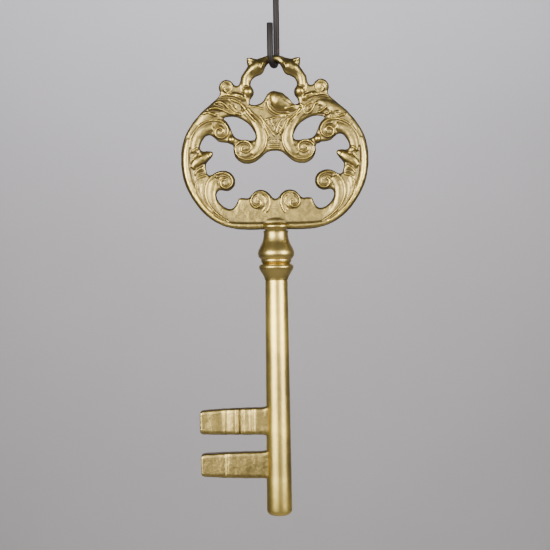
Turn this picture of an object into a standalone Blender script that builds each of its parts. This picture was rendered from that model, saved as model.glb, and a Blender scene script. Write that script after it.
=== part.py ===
"""An ornamental cast key that hangs on a bent wire hook.

The key hangs in the XZ plane, its stem along Z, its bits pointing to -X and its front
facing -Y. The origin is the inside of the hook's upper bend, where the nail or rail that
holds it bears. Places on the key are given as (x, down): millimetres sideways from its
axis and millimetres below the top of its ring. Every shape of the bow is symmetric about
the key's axis and about its middle plane, so outlines and strands are the right-hand half.
"""

import math

import bmesh
import bpy
from mathutils import Matrix, Vector

MM = 0.001

# The hook: one piece of round wire, bent to the same radius at both ends.
WIRE = 4.0
BEND_RADIUS = 7.0
HOOK_TURN = math.radians(17.5)
TOP_TO_RING = 53.0
LOWER_TIP_RISE = 19.5
UPPER_TIP_DROP = 4.0

# The ring hangs with the top of its opening on the hook's lower bend.
RING_OPENING_TOP = 4.2
FIT_GAP = 0.3
RING_TOP = -(TOP_TO_RING - RING_OPENING_TOP)
SWAY_HEIGHT = -(TOP_TO_RING + FIT_GAP + WIRE / 2)
SADDLE_REACH = 6
SADDLE_FLARE = 0.2

# The bow
PLATE_HALF = 2.2
PLATE_ROUND = 1.3
BOW_VOXEL = 0.8
BOW_TRIANGLES = 6600

# The neck: a slotted baluster and a collar on one threaded stud
NECK_TOP = 108.6
NECK_BOTTOM = 134.9
COLLAR_TOP = 135.3
COLLAR_BOTTOM = 145.6
SLOT_HALF = 4.9
SLOT_BOTTOM = 113.9
STUD_RADIUS = 2.5
STUD_TOP = 110.0
STUD_BOTTOM = 165.0

# The stem
STEM_TOP = 145.9
STEM_BOTTOM = 299.0
STEM_TOP_RADIUS = 7.4
STEM_BOTTOM_RADIUS = 8.3
STEM_END_ROUND = 2.4

# The bits
BIT_ROOT = 7.2
BIT_TAPER = 1.1
COPE_RADIUS = 8.2
BIT_TENON = 4.6
TENON_DEPTH = 5.0
TENON_HALF = 2.2
UPPER_BIT_DOWN = (228.4, 246.2)
LOWER_BIT_DOWN = (257.0, 274.2)

TURNED_STEPS = 40
BRASS = (0.53, 0.40, 0.17)
STEEL = (0.055, 0.053, 0.055)

# --- Outlines of the bow, right-hand half, as (x, down); a third value of 0 is a corner ---

OUTER_EDGE = [
    (0, -0.3), (4.5, 0.1), (8, 1.3), (11.5, 2.0), (14.5, 1.3), (17.6, 1.4, 0), (17.4, 5.0),
    (17.0, 8.2), (19.2, 10.6), (21.2, 13.3), (21.9, 16.6), (23.4, 19.2), (25.6, 18.8),
    (27.6, 16.6), (31, 15.4), (34.6, 17.2), (35.9, 20.8), (35.2, 24.4), (36.2, 26.4),
    (40, 29.9), (45, 34.4), (50, 39.2), (54.6, 45.2), (58.4, 52.2), (60.5, 60), (61, 67),
    (60.5, 75), (59, 82), (56, 89), (52, 95.6), (47, 101.8), (41, 106.8), (35, 110),
    (28, 112.2), (20, 113.2), (10, 113.3), (0, 113.3),
]
RING_OPENING = [
    (0, RING_OPENING_TOP), (2.4, 4.6), (3.9, 5.9), (5.5, 8.4), (6.6, 11), (8.2, 12.5),
    (11, 13.6), (13.5, 15.2), (14.7, 17.5), (14.8, 19.6), (13.6, 21.3), (12.9, 23.5),
    (13.4, 26), (15, 28.3), (15.8, 30.2), (15.6, 31.6, 0), (12, 31.9), (9, 30.8),
    (6.6, 28.8), (5.2, 26.3), (3.5, 24.2), (1.4, 23.1), (0, 23),
]
MAIN_OPENING = [
    (0, 62.1), (4.3, 62.8), (6.6, 64.4), (9.5, 67), (13.5, 69.5), (18.5, 70.3), (22.5, 69.1),
    (25.6, 66), (26.9, 62), (27.0, 58.5), (29, 56.9), (32, 56.5), (36.5, 55.6), (39.2, 53.2),
    (41.8, 51.6), (44.8, 52.3), (47, 54.6), (48.1, 57.5), (48.2, 60.3), (46.8, 61.5),
    (43, 61.5), (40.4, 62.3), (40.1, 64.2), (41.6, 66.6), (44, 69.3), (44.8, 71.5),
    (44.3, 74.2), (43.6, 76.6), (42, 77.2), (38.4, 75.4), (34.3, 74.3), (29.8, 75.3),
    (26.8, 78), (25.8, 81.5), (26.3, 84.3), (28.5, 86.9), (31.5, 87.9), (34.3, 87.5),
    (36.4, 87.5), (38, 89.5), (37.9, 91.5), (36.8, 94.2), (34.7, 96.7), (31.8, 98.6),
    (29, 99.2), (26.7, 98), (25, 95.2), (23.9, 92.6, 0), (21.5, 92.2), (17.3, 92.2),
    (15.5, 90.3), (13.2, 88.1), (10.2, 87.1), (7, 87.5), (4, 89.4), (2.1, 91.8), (0.8, 92.8),
    (0, 92.9),
]
EYE_OPENING = [
    (33.4, 40.6, 0), (29.5, 39.7), (24.5, 40.1), (20, 42.2), (16.2, 45.2), (13.8, 48.8),
    (12.4, 52.5), (13, 54.7, 0), (16, 54.9), (21, 54.4), (24.5, 53.4), (26.7, 51),
    (27.9, 48.2), (29, 45.5), (30.6, 43),
]

# --- Raised strands of the bow, as (x, down, half width) ---

RIM = [
    (36.5, 28.6, 1.4), (40, 31.9, 2.0), (45, 36.4, 2.3), (50, 41.4, 2.5), (54.2, 47.4, 2.6),
    (57.0, 54, 2.7), (58.2, 61, 2.7), (58.4, 68, 2.6), (57.8, 75, 2.6), (56.3, 82, 2.5),
    (53.4, 88.6, 2.4), (49.5, 95, 2.3), (44.6, 100.9, 2.2), (38.8, 105.6, 2.2),
    (32.4, 108.9, 2.2), (25, 110.8, 2.2), (17, 111.1, 2.2), (8, 111.1, 2.2), (0, 111.1, 2.2),
]
UPPER_SCROLL = [
    (52.6, 63, 3.2), (51.9, 57, 3.6), (49.6, 51.6, 3.8), (45.3, 47.4, 3.8), (40, 46, 3.2),
]
CENTRE_SCROLL = [
    (19.5, 36.5, 2.2), (15, 40, 2.8), (11.4, 44.6, 3.4), (9.2, 50, 3.5), (8.9, 56, 3.6),
    (10.8, 61, 3.6), (14.6, 64, 3.0),
]
LOWER_SCROLL = [
    (34.6, 105.6, 2.0), (38.6, 100.6, 3.0), (41.2, 94.8, 3.4), (41.9, 88.6, 3.4),
    (40.3, 83.2, 3.4), (37.4, 79.6, 3.0),
]
BLADE_LEAF = [
    (49.4, 79.5, 2.0), (50.4, 85, 2.6), (49.2, 90.6, 2.2), (45.6, 97, 1.6), (40, 103, 1.0),
]
FINGER_LEAF = [(54, 72.6, 1.8), (50, 69, 2.8), (46, 66.2, 2.9), (42.6, 63.9, 2.2)]
SMALL_LEAVES = [
    [(55.6, 67, 1.4), (52.6, 63.4, 1.9), (50.2, 61.4, 1.4)],
    [(52.6, 77.6, 1.2), (49, 74.8, 1.9), (46.4, 73, 1.3)],
    [(53.2, 80.4, 1.1), (49, 78.4, 1.7), (45.2, 77.2, 1.1)],
]
SHOULDER_LEAVES = [
    [(19.4, 37, 1.0), (22.4, 34.2, 2.3), (26.6, 31.2, 1.3)],
    [(23, 38, 0.9), (26.6, 34.6, 2.0), (30.6, 31.2, 2.2), (33.6, 29.4, 1.2)],
    [(27.4, 38.4, 0.9), (31.6, 35.8, 1.9), (35.8, 32.8, 2.1), (38.8, 31.4, 1.1)],
    [(32, 39, 0.8), (36.2, 37.2, 1.7), (40.4, 35.2, 1.8), (43, 34.6, 1.0)],
    [(36, 40.2, 0.8), (40.6, 39.2, 1.6), (45, 38.4, 1.5), (47.8, 38.8, 0.8)],
]
BEAST = [
    (0, 2.1, 1.9), (3.4, 2.6, 2.1), (6.4, 4.4, 2.9), (9.6, 6.6, 4.4), (12.9, 8.6, 4.2),
    (16.0, 11.3, 3.3), (17.9, 14.6, 3.2), (18.4, 18.4, 3.3), (18.6, 22, 3.2),
]
EAR = [(13.4, 5.4, 2.2), (15.4, 3.6, 1.5), (17.0, 2.1, 0.7)]
SHOULDER = [(18, 27.6, 2.6), (22, 27.2, 2.9), (26.6, 25.8, 2.6), (30.4, 24.6, 2.0)]
PALMETTE = [(0, 26.6, 3.8), (0, 29, 5.6), (0, 32, 5.2), (0, 36, 3.0)]

# Discs under the volutes, as (x, down, radius)
VOLUTES = [(34.8, 49.2, 4.9), (19.4, 60.6, 6.0), (32.2, 81.6, 4.9), (10.8, 94.2, 5.4)]
CURL = (30.6, 20.4, 3.9)
BEAD = (16.9, 23.6, 3.3)

# How far the middle of each kind of strand lies from the middle plane, and how tall it is
ROUND_SECTION = 1.0
FLAT_SECTION = 0.5


def clear_scene():
    for obj in list(bpy.data.objects):
        bpy.data.objects.remove(obj)


def collection(name):
    made = bpy.data.collections.new(name)
    bpy.context.scene.collection.children.link(made)
    return made


def material(name, color, roughness):
    made = bpy.data.materials.new(name)
    made.use_nodes = True
    shader = made.node_tree.nodes["Principled BSDF"]
    shader.inputs["Base Color"].default_value = (*color, 1)
    shader.inputs["Metallic"].default_value = 1.0
    shader.inputs["Roughness"].default_value = roughness
    made.diffuse_color = (*color, 1)
    return made


def height(down):
    """World Z, in metres, of a place this many millimetres below the ring's top."""
    return (RING_TOP - down) * MM


def add(name, data, group, look=None):
    obj = bpy.data.objects.new(name, data)
    group.objects.link(obj)
    if look:
        data.materials.append(look)
    return obj


def apply_modifiers(obj):
    graph = bpy.context.evaluated_depsgraph_get()
    mesh = bpy.data.meshes.new_from_object(obj.evaluated_get(graph))
    obj.modifiers.clear()
    obj.data = mesh


# --- Flat outlines and strands, drawn in their own XY plane and stood upright ---


def stand_up(obj):
    """Turns a drawing's X and Y into the key's X and Z; what points up from it faces -Y."""
    obj.rotation_euler = (math.pi / 2, 0, 0)


def both_halves(right):
    """A closed outline from its right-hand half, which starts and ends on the axis."""
    left = [(-p[0], *p[1:]) for p in reversed(right[1:-1])]
    return right + left


def add_loop(curve, outline):
    spline = curve.splines.new("BEZIER")
    spline.bezier_points.add(len(outline) - 1)
    spline.use_cyclic_u = True
    spline.resolution_u = 4
    for point, place in zip(spline.bezier_points, outline):
        point.co = (place[0] * MM, height(place[1]), 0)
        kind = "VECTOR" if len(place) == 3 else "AUTO"
        point.handle_left_type = kind
        point.handle_right_type = kind


def plate(name, outlines, half, rounded, group):
    """A flat plate with rounded edges; outlines after the first are its openings."""
    curve = bpy.data.curves.new(name, "CURVE")
    curve.dimensions = "2D"
    curve.fill_mode = "BOTH"
    curve.extrude = (half - rounded) * MM
    curve.bevel_depth = rounded * MM
    curve.bevel_resolution = 3
    curve.offset = -rounded * MM
    for outline in outlines:
        add_loop(curve, outline)
    obj = add(name, curve, group)
    stand_up(obj)
    return obj


def section(ratio, group):
    """A strand's cross-section: an ellipse 1 mm to each side and ratio times that tall."""
    curve = bpy.data.curves.new(f"section_{ratio}", "CURVE")
    curve.dimensions = "2D"
    spline = curve.splines.new("POLY")
    corners = 16
    spline.points.add(corners - 1)
    spline.use_cyclic_u = True
    for i, point in enumerate(spline.points):
        turn = math.tau * i / corners
        point.co = (math.cos(turn) * MM, ratio * math.sin(turn) * MM, 0, 1)
    obj = add(curve.name, curve, group)
    obj.hide_render = True
    return obj


def strand(points, profile, out, group):
    """A strand that swells and narrows along its path; out is its height off mid-plane."""
    curve = bpy.data.curves.new("strand", "CURVE")
    curve.dimensions = "3D"
    curve.twist_mode = "Z_UP"
    curve.bevel_mode = "OBJECT"
    curve.bevel_object = profile
    curve.use_fill_caps = True
    curve.resolution_u = 5
    spline = curve.splines.new("BEZIER")
    spline.bezier_points.add(len(points) - 1)
    for point, (x, down, half_width) in zip(spline.bezier_points, points):
        point.co = (x * MM, height(down), out * MM)
        point.radius = half_width
        point.handle_left_type = "AUTO"
        point.handle_right_type = "AUTO"
    obj = add("strand", curve, group)
    stand_up(obj)
    return obj


def dome(x, down, radius, out, tall, group):
    """A ball or a flattened dome whose middle lies out from the middle plane."""
    mesh = bpy.data.meshes.new("dome")
    shape = bmesh.new()
    bmesh.ops.create_uvsphere(shape, u_segments=24, v_segments=14, radius=1)
    stretch = Matrix.Diagonal((radius * MM, tall * MM, radius * MM, 1))
    move = Matrix.Translation((x * MM, -out * MM, height(down)))
    bmesh.ops.transform(shape, matrix=move @ stretch, verts=shape.verts)
    shape.to_mesh(mesh)
    shape.free()
    return add("dome", mesh, group)


def disc(x, down, radius, tall, group):
    """A short cylinder through the plate, with its rim rounded."""
    mesh = bpy.data.meshes.new("disc")
    shape = bmesh.new()
    bmesh.ops.create_cone(
        shape, cap_ends=True, segments=32,
        radius1=radius * MM, radius2=radius * MM, depth=2 * tall * MM,
    )
    upright = Matrix.Rotation(math.pi / 2, 4, "X")
    move = Matrix.Translation((x * MM, 0, height(down)))
    bmesh.ops.transform(shape, matrix=move @ upright, verts=shape.verts)
    shape.to_mesh(mesh)
    shape.free()
    obj = add("disc", mesh, group)
    bevel = obj.modifiers.new("rim", "BEVEL")
    bevel.width = 0.8 * MM
    bevel.segments = 2
    return obj


def joined(name, pieces, group):
    """One mesh, in world space, of what the viewport shows of these pieces."""
    bpy.context.view_layer.update()
    graph = bpy.context.evaluated_depsgraph_get()
    merged = bmesh.new()
    for piece in pieces:
        mesh = bpy.data.meshes.new_from_object(piece.evaluated_get(graph))
        mesh.transform(piece.matrix_world)
        merged.from_mesh(mesh)
        bpy.data.meshes.remove(mesh)
        bpy.data.objects.remove(piece)
    mesh = bpy.data.meshes.new(name)
    merged.to_mesh(mesh)
    merged.free()
    return add(name, mesh, group)


def cut(obj, cutter):
    boolean = obj.modifiers.new("cut", "BOOLEAN")
    boolean.operation = "DIFFERENCE"
    boolean.object = cutter
    cutter.hide_render = True
    cutter.display_type = "WIRE"


# --- Pieces ---


def make_bow(group, cutters, look):
    """The openwork bow: plate, rim, scrolls, leaves and ring, fused as one casting."""
    round_one = section(ROUND_SECTION, cutters)
    flat_one = section(FLAT_SECTION, cutters)
    base = plate(
        "bow_plate",
        [
            both_halves(OUTER_EDGE), both_halves(RING_OPENING), both_halves(MAIN_OPENING),
            EYE_OPENING, [(-p[0], *p[1:]) for p in EYE_OPENING],
        ],
        PLATE_HALF, PLATE_ROUND, cutters,
    )
    quarter = [
        strand(RIM, round_one, 1.6, cutters),
        strand(UPPER_SCROLL, flat_one, 1.9, cutters),
        strand(CENTRE_SCROLL, flat_one, 2.1, cutters),
        strand(LOWER_SCROLL, flat_one, 1.9, cutters),
        strand(BLADE_LEAF, round_one, 1.2, cutters),
        strand(FINGER_LEAF, round_one, 1.0, cutters),
        strand(SHOULDER, round_one, 1.2, cutters),
        strand(BEAST, round_one, 0.2, cutters),
        strand(EAR, round_one, 1.0, cutters),
        strand(PALMETTE, flat_one, 1.0, cutters),
    ]
    quarter += [strand(leaf, round_one, 1.7, cutters) for leaf in SMALL_LEAVES]
    quarter += [strand(leaf, round_one, 1.8, cutters) for leaf in SHOULDER_LEAVES]
    quarter += [disc(x, down, radius, 3.5, cutters) for x, down, radius in VOLUTES]
    quarter.append(dome(*CURL, 0, 4.0, cutters))
    quarter.append(dome(*BEAD, 0.6, 4.2, cutters))
    ornament = joined("bow_ornament", quarter, cutters)
    mirror = ornament.modifiers.new("halves", "MIRROR")
    mirror.use_axis = (True, True, False)
    mirror.use_mirror_merge = False
    bow = joined("bow_casting", [base, ornament], group)
    bow.data.materials.append(look)
    fuse = bow.modifiers.new("fuse", "REMESH")
    fuse.mode = "VOXEL"
    fuse.voxel_size = BOW_VOXEL * MM
    settle = bow.modifiers.new("settle", "SMOOTH")
    settle.factor = 0.5
    settle.iterations = 2
    apply_modifiers(bow)
    fine = sum(len(p.vertices) - 2 for p in bow.data.polygons)
    thin = bow.modifiers.new("thin", "DECIMATE")
    thin.ratio = BOW_TRIANGLES / fine
    cut(bow, rod("stud_hole", STUD_RADIUS + FIT_GAP, STUD_TOP - FIT_GAP, SLOT_BOTTOM, cutters))
    cut(bow, make_saddle(cutters))
    return bow


def make_saddle(group):
    """Cuts the worn saddle under the ring's top: it clears the wire at every sway angle."""
    profile = [(0, -SADDLE_REACH)]
    for step in range(-SADDLE_REACH, SADDLE_REACH + 1):
        profile.append((WIRE / 2 + 1.4 * FIT_GAP + SADDLE_FLARE * step * step, step))
    profile.append((0, SADDLE_REACH))
    mesh = bpy.data.meshes.new("saddle")
    mesh.from_pydata(
        [(radius * MM, 0, -along * MM) for radius, along in profile],
        [(i, i + 1) for i in range(len(profile) - 1)],
        [],
    )
    saddle = add("saddle", mesh, group)
    screw = saddle.modifiers.new("turn", "SCREW")
    screw.steps = TURNED_STEPS
    screw.render_steps = TURNED_STEPS
    screw.use_merge_vertices = True
    screw.merge_threshold = 0.0001
    saddle.rotation_euler = (math.pi / 2, 0, 0)
    saddle.location = (0, 0, SWAY_HEIGHT * MM)
    return saddle


def rod(name, radius, top, bottom, group, look=None):
    """A plain round rod along the key's axis."""
    mesh = bpy.data.meshes.new(name)
    shape = bmesh.new()
    bmesh.ops.create_cone(
        shape, cap_ends=True, segments=24,
        radius1=radius * MM, radius2=radius * MM, depth=(bottom - top) * MM,
        matrix=Matrix.Translation((0, 0, height((top + bottom) / 2))),
    )
    shape.to_mesh(mesh)
    shape.free()
    return add(name, mesh, group, look)


def turned(name, profile, group, look):
    """A piece turned about the key's axis from (radius, down) points, top to bottom."""
    mesh = bpy.data.meshes.new(name)
    mesh.from_pydata(
        [(radius * MM, 0, height(down)) for radius, down in profile],
        [(i, i + 1) for i in range(len(profile) - 1)],
        [],
    )
    obj = add(name, mesh, group, look)
    screw = obj.modifiers.new("turn", "SCREW")
    screw.steps = TURNED_STEPS
    screw.render_steps = TURNED_STEPS
    screw.use_merge_vertices = True
    screw.merge_threshold = 0.0001
    return obj


def box(name, low, high, group):
    mesh = bpy.data.meshes.new(name)
    shape = bmesh.new()
    bmesh.ops.create_cube(shape, size=1)
    low, high = Vector(low), Vector(high)
    fit = Matrix.Translation((low + high) / 2) @ Matrix.Diagonal((*(high - low), 1))
    bmesh.ops.transform(shape, matrix=fit, verts=shape.verts)
    shape.to_mesh(mesh)
    shape.free()
    return add(name, mesh, group)


def make_neck(group, cutters, look):
    """The baluster, slotted across its top so that its cheeks clasp the bow's foot."""
    inner = STUD_RADIUS + FIT_GAP
    profile = [
        (inner, NECK_TOP), (6.4, NECK_TOP), (8.8, 109.2), (9.7, 110.4), (9.7, 111.6),
        (9.0, 112.9), (8.2, 114.6), (7.9, 117.2), (8.1, 119.8), (9.0, 122.4), (10.6, 125.0),
        (11.7, 127.4), (11.9, 129.0), (11.5, 130.8), (10.5, 132.4), (9.6, 133.6),
        (9.5, NECK_BOTTOM), (inner, NECK_BOTTOM), (inner, NECK_TOP),
    ]
    neck = turned("neck_baluster", profile, group, look)
    reach = 0.02
    slot = box(
        "foot_slot", (-reach, -SLOT_HALF * MM, height(SLOT_BOTTOM)),
        (reach, SLOT_HALF * MM, height(NECK_TOP - 3)), cutters,
    )
    cut(neck, slot)
    return neck


def make_collar(group, look):
    inner = STUD_RADIUS + FIT_GAP
    profile = [
        (inner, COLLAR_TOP), (9.4, COLLAR_TOP), (10.3, 136.2), (11.1, 137.4), (11.3, 138.6),
        (10.9, 139.9), (9.9, 141.4), (8.7, 143.0), (7.8, 144.5), (7.5, COLLAR_BOTTOM),
        (inner, COLLAR_BOTTOM), (inner, COLLAR_TOP),
    ]
    return turned("neck_collar", profile, group, look)


def make_stem(group, cutters, look):
    """The tapered stem, drilled for the stud and mortised for the two bits."""
    inner = STUD_RADIUS + FIT_GAP
    profile = [
        (inner, STEM_TOP), (STEM_TOP_RADIUS, STEM_TOP),
        (STEM_BOTTOM_RADIUS, STEM_BOTTOM - STEM_END_ROUND),
    ]
    for step in range(1, 5):
        turn = math.radians(90) * step / 4
        profile.append((
            STEM_BOTTOM_RADIUS - STEM_END_ROUND * (1 - math.cos(turn)),
            STEM_BOTTOM - STEM_END_ROUND * (1 - math.sin(turn)),
        ))
    profile += [
        (0, STEM_BOTTOM), (0, STUD_BOTTOM + FIT_GAP), (inner, STUD_BOTTOM + FIT_GAP),
        (inner, STEM_TOP),
    ]
    stem = turned("stem", profile, group, look)
    for name, (top, bottom) in (("upper", UPPER_BIT_DOWN), ("lower", LOWER_BIT_DOWN)):
        reach = BIT_ROOT - TENON_DEPTH - FIT_GAP
        half = (TENON_HALF + FIT_GAP) * MM
        middle = (top + bottom) / 2
        mortise = box(
            f"{name}_mortise",
            (-0.012, -half, height(middle + BIT_TENON + FIT_GAP)),
            (-reach * MM, half, height(middle - BIT_TENON - FIT_GAP)), cutters,
        )
        cut(stem, mortise)
    return stem


def rounded_section(half_thick, half_tall, corner, steps=3, spans=6):
    """(y, z) points round a rectangle with rounded corners, its ends cut into spans."""
    points = []
    for quarter in range(4):
        if quarter in (1, 3):
            flat = (half_thick - corner) * (1 if quarter == 1 else -1)
            end = half_tall * (1 if quarter == 1 else -1)
            points += [(flat * (1 - 2 * i / spans), end) for i in range(1, spans)]
        centre_y = (half_thick - corner) * (1 if quarter in (0, 3) else -1)
        centre_z = (half_tall - corner) * (1 if quarter in (0, 1) else -1)
        for step in range(steps + 1):
            turn = math.radians(90) * (quarter + step / steps)
            points.append((centre_y + corner * math.cos(turn), centre_z + corner * math.sin(turn)))
    return points


def loft(name, stations, group, look):
    """A bar along X through stations of (x, top down, bottom down, half thickness, corner).

    A station whose x is None is coped: it follows the stem's surface, a fit gap away.
    """
    mesh = bpy.data.meshes.new(name)
    shape = bmesh.new()
    rings = []
    for x, top, bottom, half_thick, corner in stations:
        middle = (top + bottom) / 2
        ring = []
        for y, z in rounded_section(half_thick, (bottom - top) / 2, corner):
            side = x if x is not None else -math.sqrt((COPE_RADIUS + FIT_GAP) ** 2 - y * y)
            ring.append(shape.verts.new((side * MM, y * MM, height(middle) + z * MM)))
        rings.append(ring)
    for near, far in zip(rings, rings[1:]):
        for i in range(len(near)):
            j = (i + 1) % len(near)
            shape.faces.new((near[i], near[j], far[j], far[i]))
    shape.faces.new(rings[0])
    shape.faces.new(rings[-1])
    bmesh.ops.recalc_face_normals(shape, faces=shape.faces)
    shape.to_mesh(mesh)
    shape.free()
    return add(name, mesh, group, look)


def bit_stations(down, end_x, steps):
    """Stations from the tenon out to the bit's end; steps are (x, half thickness)."""
    top, bottom = down
    middle = (top + bottom) / 2
    tenon_end = -(BIT_ROOT - TENON_DEPTH)
    stations = [
        (tenon_end, middle - BIT_TENON, middle + BIT_TENON, TENON_HALF, 0.5),
        (None, middle - BIT_TENON, middle + BIT_TENON, TENON_HALF, 0.5),
        (None, top, bottom, steps[0][1], 1.0),
    ]
    for x, half_thick in steps:
        taper = BIT_TAPER * (x / end_x) ** 2
        stations.append((x, top + taper, bottom - taper, half_thick, 1.0))
    last_half = steps[-1][1]
    for inset, drop, thinner in ((1.2, 0.4, 0.1), (0.3, 1.3, 0.6), (0, 2.4, 1.6)):
        drop += BIT_TAPER
        stations.append((end_x + inset, top + drop, bottom - drop, last_half - thinner, 1.2))
    return stations


def make_upper_bit(group, look):
    """The ward bit with a ribbed middle and a raised block at its end."""
    steps = [
        (-9.2, 4.2), (-15.2, 4.2), (-16.2, 4.8), (-20.8, 4.8), (-21.6, 4.0), (-22.6, 4.0),
        (-23.6, 4.8), (-24.6, 4.8), (-25.6, 3.9), (-26.6, 3.9), (-27.6, 4.4), (-33.6, 4.4),
        (-35.0, 5.2), (-46.0, 4.8),
    ]
    return loft("upper_bit", bit_stations(UPPER_BIT_DOWN, -50.9, steps), group, look)


def make_lower_bit(group, look):
    """The plain ward bit, with the same raised block at its end."""
    steps = [(-9.2, 4.4), (-20, 4.5), (-32.6, 4.4), (-34.0, 5.2), (-46.0, 4.8)]
    return loft("lower_bit", bit_stations(LOWER_BIT_DOWN, -50.5, steps), group, look)


def make_hook(group, look):
    """Wire with two equal bends on one side, so that it hangs plumb."""
    top = -(BEND_RADIUS - WIRE / 2)
    bottom = -TOP_TO_RING - WIRE / 2 - FIT_GAP + BEND_RADIUS
    path = [(-BEND_RADIUS, top - UPPER_TIP_DROP), (-BEND_RADIUS, top - UPPER_TIP_DROP / 2)]
    steps = 10
    for step in range(steps + 1):
        turn = math.pi * (1 - step / steps)
        path.append((BEND_RADIUS * math.cos(turn), top + BEND_RADIUS * math.sin(turn)))
    path += [(BEND_RADIUS, top * 0.7 + bottom * 0.3), (BEND_RADIUS, top * 0.3 + bottom * 0.7)]
    for step in range(steps + 1):
        turn = -math.pi * step / steps
        path.append((BEND_RADIUS * math.cos(turn), bottom + BEND_RADIUS * math.sin(turn)))
    path += [(-BEND_RADIUS, bottom + LOWER_TIP_RISE / 2), (-BEND_RADIUS, bottom + LOWER_TIP_RISE)]
    curve = bpy.data.curves.new("hanging_hook", "CURVE")
    curve.dimensions = "3D"
    curve.bevel_depth = WIRE / 2 * MM
    curve.bevel_resolution = 3
    curve.use_fill_caps = True
    spline = curve.splines.new("POLY")
    spline.points.add(len(path) - 1)
    for point, (back, z) in zip(spline.points, path):
        point.co = (
            back * math.sin(HOOK_TURN) * MM, back * math.cos(HOOK_TURN) * MM, z * MM, 1
        )
    return add("hanging_hook", curve, group, look)


def make_sway_axis(pieces, group):
    """An empty at the middle of the wire under the ring, about whose Y axis the key sways."""
    axis = add("key_sway_axis", None, group)
    axis.empty_display_size = 0.02
    axis.location = (0, 0, SWAY_HEIGHT * MM)
    bpy.context.view_layer.update()
    for piece in pieces:
        piece.parent = axis
        piece.matrix_parent_inverse = axis.matrix_world.inverted()
    return axis


def shade(obj):
    """Smooth shading with sharp edges kept, on the mesh that the modifiers build on."""
    if obj.type == "MESH":
        obj.data.shade_smooth()
        obj.data.set_sharp_from_angle(angle=math.radians(35))


def main():
    clear_scene()
    key = collection("ornamental_key")
    cutters = collection("cutters")
    steel = material("dark_steel", STEEL, 0.5)
    pieces = [
        make_bow(key, cutters, material("bow_brass", BRASS, 0.40)),
        make_neck(key, cutters, material("neck_brass", BRASS, 0.36)),
        make_collar(key, material("collar_brass", BRASS, 0.36)),
        make_stem(key, cutters, material("stem_brass", BRASS, 0.34)),
        make_upper_bit(key, material("upper_bit_brass", BRASS, 0.42)),
        make_lower_bit(key, material("lower_bit_brass", BRASS, 0.42)),
        rod("joining_stud", STUD_RADIUS, STUD_TOP, STUD_BOTTOM, key, steel),
    ]
    make_sway_axis(pieces, key)
    make_hook(key, material("hook_wire", STEEL, 0.55))
    for piece in pieces:
        shade(piece)


main()
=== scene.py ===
# %% [markdown]
# # An ornamental cast key on a wire hook
# The key is a real assembly: an openwork bow cast in one piece, a turned neck of two rings, a
# long round stem and two flat bits. It hangs by its ring from a bent wire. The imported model
# gives every place and size, so this lesson starts by loading it and noting its box.

# %% Load the frame
import math

import bpy
import numpy as np
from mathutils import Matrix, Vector, kdtree


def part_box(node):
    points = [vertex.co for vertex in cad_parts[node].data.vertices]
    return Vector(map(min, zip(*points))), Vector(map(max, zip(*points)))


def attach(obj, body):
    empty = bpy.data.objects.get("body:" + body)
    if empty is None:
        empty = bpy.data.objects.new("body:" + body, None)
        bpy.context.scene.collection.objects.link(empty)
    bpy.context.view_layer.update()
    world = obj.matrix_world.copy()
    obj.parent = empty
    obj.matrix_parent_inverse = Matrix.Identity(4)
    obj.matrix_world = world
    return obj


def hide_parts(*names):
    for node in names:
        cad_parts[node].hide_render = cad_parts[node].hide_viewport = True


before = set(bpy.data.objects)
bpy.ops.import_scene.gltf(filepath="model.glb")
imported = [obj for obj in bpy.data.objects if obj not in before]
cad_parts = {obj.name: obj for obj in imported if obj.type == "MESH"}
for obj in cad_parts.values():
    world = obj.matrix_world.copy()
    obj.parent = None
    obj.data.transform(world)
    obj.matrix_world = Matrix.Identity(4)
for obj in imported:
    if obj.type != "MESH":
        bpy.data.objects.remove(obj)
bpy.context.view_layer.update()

# %% [markdown]
# Places on the key are easiest to read as millimetres to the side of its axis and below the
# top of its ring. Two small functions turn such a place into metres. The ring's top follows
# from the stem's end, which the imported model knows.

# %% Places on the key
MM = 0.001
KEY_LENGTH = 299.0
RING_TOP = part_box("stem")[0][2] / MM + KEY_LENGTH


def height(down):
    """World Z, in metres, of a place this many millimetres below the ring's top."""
    return (RING_TOP - down) * MM


def spot(x, down, out=0.0):
    """A place on the key, in metres; out is how far it stands in front of the middle."""
    return (x * MM, -out * MM, height(down))


print("ring top at", round(RING_TOP, 2), "mm")

# %% [markdown]
# The camera stands straight in front at the height of the key's middle, with a long lens, so
# the stem's sides stay parallel. It is rolled a little, because a hanging key never looks quite
# plumb. The camera comes first because everything else is judged through it.

# %% Camera
LENS = 85.0
SENSOR = 36.0
FIELD = 357.5
CAMERA_ROLL = math.radians(0.787)
camera_data = bpy.data.cameras.new("camera")
camera_data.lens = LENS
camera = bpy.data.objects.new("camera", camera_data)
bpy.context.collection.objects.link(camera)
camera.location = spot(-0.9, 142.7, FIELD * LENS / SENSOR)
camera.rotation_euler = (math.pi / 2, CAMERA_ROLL, 0)
bpy.context.scene.camera = camera
print("camera", [round(v, 3) for v in camera.location])

# %% [markdown]
# Every step below starts from a clean selection, because an operator works on all that is
# selected. These helpers deselect everything, select one object, run a modifier and apply it,
# and put a finished object's place into its mesh.

# %% Helpers for modelling


def pick(obj):
    """Selects this object alone and makes it active."""
    if bpy.context.object and bpy.context.object.mode != "OBJECT":
        bpy.ops.object.mode_set(mode="OBJECT")
    deselect()
    obj.select_set(True)
    bpy.context.view_layer.objects.active = obj


def deselect():
    bpy.ops.object.select_all(action="DESELECT")


def name_new(name):
    """Names the object that an operator has just added."""
    obj = bpy.context.object
    obj.name = name
    obj.data.name = name
    return obj


def modify(obj, kind, **settings):
    """Adds a modifier, sets it and applies it."""
    pick(obj)
    modifier = obj.modifiers.new(kind.lower(), kind)
    for key, value in settings.items():
        setattr(modifier, key, value)
    bpy.ops.object.modifier_apply(modifier=modifier.name)


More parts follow.
